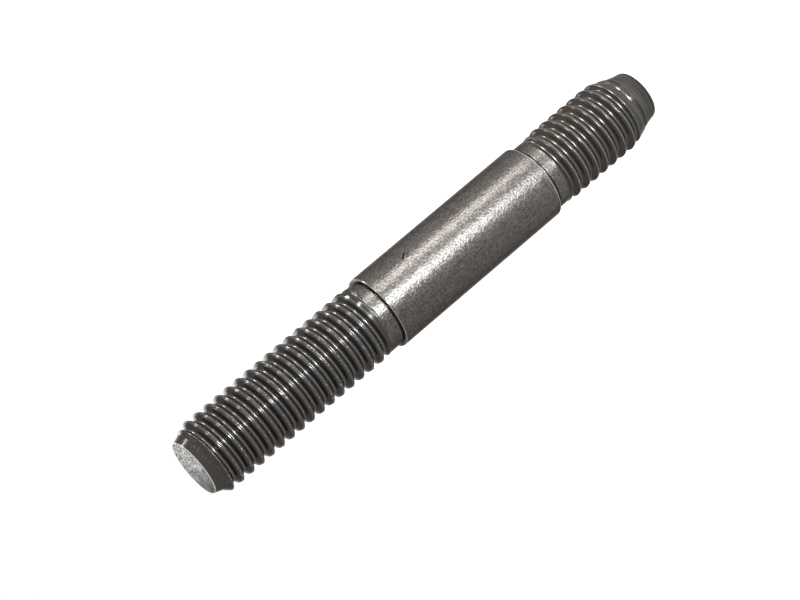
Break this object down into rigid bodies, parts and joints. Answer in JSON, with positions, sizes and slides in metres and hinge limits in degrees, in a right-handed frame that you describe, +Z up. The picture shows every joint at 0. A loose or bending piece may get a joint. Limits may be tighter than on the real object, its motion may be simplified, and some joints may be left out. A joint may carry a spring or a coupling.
{
  "type": "cylinder head stud",
  "caption": "Steel stud with a coarse thread on both ends, a plain shank between two square shoulders and a dog point.",
  "frame": {"origin": "centre of the dog point's end face, which the stud stands on", "axes": "+Z up the axis, from the block end with its dog point to the nut end with its chamfer"},
  "size_m": [0.0078, 0.0078, 0.0579],
  "materials": {
    "phosphated_steel": "satin"
  },
  "bodies": {
    "root": {"stud": "phosphated_steel"}
  },
  "joints": []
}
